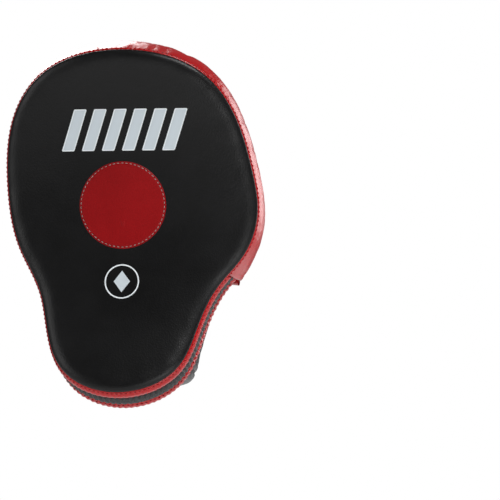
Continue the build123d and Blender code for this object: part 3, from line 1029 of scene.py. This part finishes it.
def box_path(half_width, half_length, count=60):
    """Points round a rectangle on the label."""
    corners = [(-half_width, -half_length), (half_width, -half_length)]
    corners += [(half_width, half_length), (-half_width, half_length), (-half_width, -half_length)]
    path = []
    for (x0, z0), (x1, z1) in zip(corners[:-1], corners[1:]):
        for k in range(count):
            t = k / count
            path.append((x0 + t * (x1 - x0), 0.1, label_z + z0 + t * (z1 - z0)))
    return path


ribbon(
    "LabelBorder", label_tree, box_path(0.040, 0.037), 0.0011, 0.00015, label_ink, "mitt", outwards, True
)
edge_line = dropped(label_tree, box_path(0.0428, 0.0398), outwards, 0.0)[0]
stitches("LabelStitches", label_tree, edge_line, pale_thread, "mitt", 0.0034, 0.0024, 0.0003, closed=True)


def stripe(z, width, height):
    """A level woven stripe as a four-cornered shape."""
    return [(-width / 2, z), (width / 2, z), (width / 2, z + height), (-width / 2, z + height)]


for name, z, height, thread in (
    ("LabelBlueStripe", 0.054, 0.009, label_blue),
    ("LabelDarkStripe", 0.0452, 0.0024, label_ink),
    ("LabelRedStripe", 0.030, 0.009, label_red),
):
    filled(name, label_tree, [stripe(z, 0.052, height)], outwards, 0.00015, thread, "mitt", 24)
print("label done")

# %% [markdown]
# ## The printed marks
# The face carries pale prints. Plain slanted bars stand over the target, and a ring with a diamond under
# it: they are decoration of the same size and place as prints on such a mitt, and say nothing.

# %% Prints
inwards = (0, 1, 0)
slant = 0.010
bars = []
for k in range(6):
    x = -0.044 + 0.0148 * k
    bars.append([(x, 0.053), (x + 0.0085, 0.053), (x + 0.0085 + slant, 0.082), (x + slant, 0.082)])
filled("FaceBars", face_tree, bars, inwards, 0.00012, grey_print, "mitt")
outline_bars = []
for bar_corners in bars:
    for (x0, z0), (x1, z1) in zip(bar_corners, bar_corners[1:] + bar_corners[:1]):
        along = np.array([x1 - x0, z1 - z0])
        side = np.array([-along[1], along[0]]) / np.linalg.norm(along) * 0.0004
        under = [(x0 - side[0], z0 - side[1]), (x1 - side[0], z1 - side[1])]
        over = [(x1 + side[0], z1 + side[1]), (x0 + side[0], z0 + side[1])]
        outline_bars.append(under + over)
filled("FaceBarOutlines", face_tree, outline_bars, inwards, 0.00020, pale_print, "mitt")
turn = 2 * math.pi * np.arange(96) / 96
ring_path = [(0.0122 * math.cos(a), -0.1, -0.043 + 0.0122 * math.sin(a)) for a in turn]
ribbon("FaceRing", face_tree, ring_path, 0.0010, 0.00015, pale_print, "mitt", inwards, closed=True)
diamond = [[(0, -0.051), (0.006, -0.043), (0, -0.035), (-0.006, -0.043)]]
filled("FaceDiamond", face_tree, diamond, inwards, 0.00015, grey_print, "mitt")
print("prints done")

# %% [markdown]
# ## The wrist cuff
# A padded cuff wraps the wrist from the thumb side over to the little finger side, where its flap closes
# with hook and loop tape. It is a puffy tube of leather with a double ridge along its front edge, where a
# row of topstitching pulls the padding down. It is made in two pieces that meet on the flap.


# %% Cuff
cuff_turn = math.asin(-0.078 / bend_radius)
cuff_middle = Vector((0, math.sqrt(bend_radius**2 - 0.078**2) - bend_radius, -0.078))
cuff_lengthwise = Vector((0, -math.sin(cuff_turn), math.cos(cuff_turn)))
cuff_up = Vector((0, math.cos(cuff_turn), math.sin(cuff_turn)))


def cuff_at(angle, along, depth):
    """A point of the cuff: angle in degrees from the thumb foot, along towards the fingers, depth inwards."""
    share = (along + 0.025) / 0.050
    half_width = 0.056 + 0.008 * share - depth
    height = 0.054 + 0.003 * share - depth
    pinch = 0.28 - 0.16 * share
    c, s = math.cos(math.radians(angle)), max(0.0, math.sin(math.radians(angle)))
    x = half_width * math.copysign(abs(c) ** 0.8, c) * (1 - pinch * (1 - s) ** 2)
    return cuff_middle + cuff_lengthwise * along + cuff_up * (height * s**0.8) + Vector((x, 0, 0))


cuff_shell, cuff_reach, ridge_at = 0.0108, 0.0275, 0.0185


def cuff_piece(name, start, end, count, free_end):
    """A closed padded piece of the cuff between two angles."""
    rows = []
    for angle in np.linspace(start, end, count):
        close = float(ramp(end - angle, 0, 3.0)) if free_end else 1.0
        row = []
        for along in np.linspace(-cuff_reach, cuff_reach, 41):
            puff = 0.0026 * (1 - abs(along / cuff_reach) ** 4)
            puff -= 0.0024 * math.exp(-(((along - ridge_at) / 0.0016) ** 2))
            puff -= 0.0014 * math.exp(-(((along + ridge_at + 0.004) / 0.0014) ** 2))
            near = math.exp(-(((along - ridge_at) / 0.007) ** 2))
            at = Vector((angle * 0.08, 3.3, along * 90))
            puff += (0.0007 * near + 0.00025) * noise.noise(at * 1.7) * close
            row.append(cuff_at(angle, along, -puff * close + (1 - close) * 0.0035))
        for turn in np.linspace(0, math.pi, 9)[1:-1]:
            depth = cuff_shell / 2 * (1 - math.cos(turn))
            row.append(cuff_at(angle, cuff_reach + 0.0022 * math.sin(turn), depth + (1 - close) * 0.001))
        for along in np.linspace(cuff_reach, -cuff_reach, 17):
            row.append(cuff_at(angle, along, cuff_shell - 0.0003 - (1 - close) * 0.0030))
        for turn in np.linspace(math.pi, 0, 9)[1:-1]:
            depth = cuff_shell / 2 * (1 - math.cos(turn))
            row.append(cuff_at(angle, -cuff_reach - 0.0016 * math.sin(turn), depth + (1 - close) * 0.001))
        rows.append([tuple(p) for p in row])
    return grid_object(name, rows, cuff_leather, None, wrap_columns=True, caps=(0, -1))


flap_join = 97.0
cuff = cuff_piece("CuffPad", 0.0, flap_join, 150, False)
flap = cuff_piece("CuffFlap", flap_join, 164.0, 100, True)
for piece, angles in ((cuff, 150), (flap, 100)):
    held = np.ones((angles, 72))
    held[4:-4, 1:40] = 0  # the outside, between its front and rear edges
    held[:, 33:36] = 1  # the topstitched valley
    settle(piece, held.ravel(), 2.0, 0.020, 0.0022)
cuff_nodes = [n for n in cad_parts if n.startswith("cuff_thumb_") or n.startswith("flap_base_")]
flap_nodes = [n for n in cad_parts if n.startswith("flap_tip_")]
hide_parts(*sorted(cuff_nodes))
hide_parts(*sorted(flap_nodes))
for piece, bodies, fold in ((cuff, ("mitt", "flap_base"), 72.0), (flap, ("flap_base", "flap_tip"), 122.0)):
    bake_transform(piece)
for piece, low, high, name in ((cuff, 3.0, flap_join, "Cuff"), (flap, flap_join, 160.0, "Flap")):
    fold = 72.0 if piece is cuff else 122.0
    bodies = ("mitt", "flap_base") if piece is cuff else ("flap_base", "flap_tip")
    line = [tuple(cuff_at(angle, ridge_at, 0.0)) for angle in np.linspace(low, high, 90)]
    row = stitches(name + "Stitches", surface_of(piece), line, black_thread, None, 0.0044, 0.0032, 0.00045)
    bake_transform(row)
print("cuff", len(cuff.data.vertices) + len(flap.data.vertices), "points")

# %% [markdown]
# ## The side panels
# Thin leather panels close the gap between the hood's mouth and the cuff. They are slack when no hand is
# in, so they crumple between their two sewn edges.


# %% Side panels
def side_panel(name, start, end, depth, node, crumple):
    """A slack leather panel from the hood's mouth to the front of the cuff."""
    outer, inner = [], []
    for t in np.linspace(0, 1, 34):
        for rows, below in ((outer, 0.0), (inner, 0.0022)):
            row = []
            for angle in np.linspace(start, end, 70):
                c, s = math.cos(math.radians(angle)), max(0.0, math.sin(math.radians(angle)))
                x = (0.066 - below) * math.copysign(abs(c) ** 0.8, c)
                y = (0.036 - below) * s**0.8 + math.sqrt(bend_radius**2 - 0.036**2) - bend_radius
                near = Vector((x, y, -0.036))
                far = cuff_at(angle, 0.0277, depth + below)
                row.append(tuple(near.lerp(far, t)))
            rows.append(np.array(row))
        slack = math.sin(math.pi * t)
        folds = rumple(outer[-1], 0.012, 6.1, (1, 1, 2.2)) * crumple * slack
        for rows in (outer, inner):
            rows[-1][:, 1] += folds
    made = grid_object(name, outer + inner[::-1], cuff_leather, "mitt", wrap_rows=True)
    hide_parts(node)
    return made


side_panel("ThumbSidePanel", 0, 76, 0.0054, "thumb_side_panel", 0.0022)
side_panel("PinkySidePanel", 122, 180, 0.01335, "pinky_side_panel", 0.0010)

# %% [markdown]
# ## Linings, tab and tapes
# What is inside is thin and keeps its CAD shape: the palm cover, the linings, the tab that the flap closes
# on, and the hook and loop tapes. They only need their own finishes.

# %% Finishes of the carried-over pieces
hook_tape = woven("HookTape", (0.003, 0.003, 0.003), (0.020, 0.020, 0.021), 0.5, 700, 0.0006)
loop_tape = woven("LoopTape", (0.004, 0.004, 0.004), (0.016, 0.016, 0.017), 0.95, 420, 0.0009, 0.4)
finishes = {"hook_patch": hook_tape, "loop_patch": loop_tape, "pinky_tab": cuff_leather}
finishes.update({"palm_cover": lining_leather, "hood_lining": lining_leather})
for name, finish in finishes.items():
    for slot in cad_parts[name].material_slots:
        slot.material = finish
print("finishes", sorted(finishes))
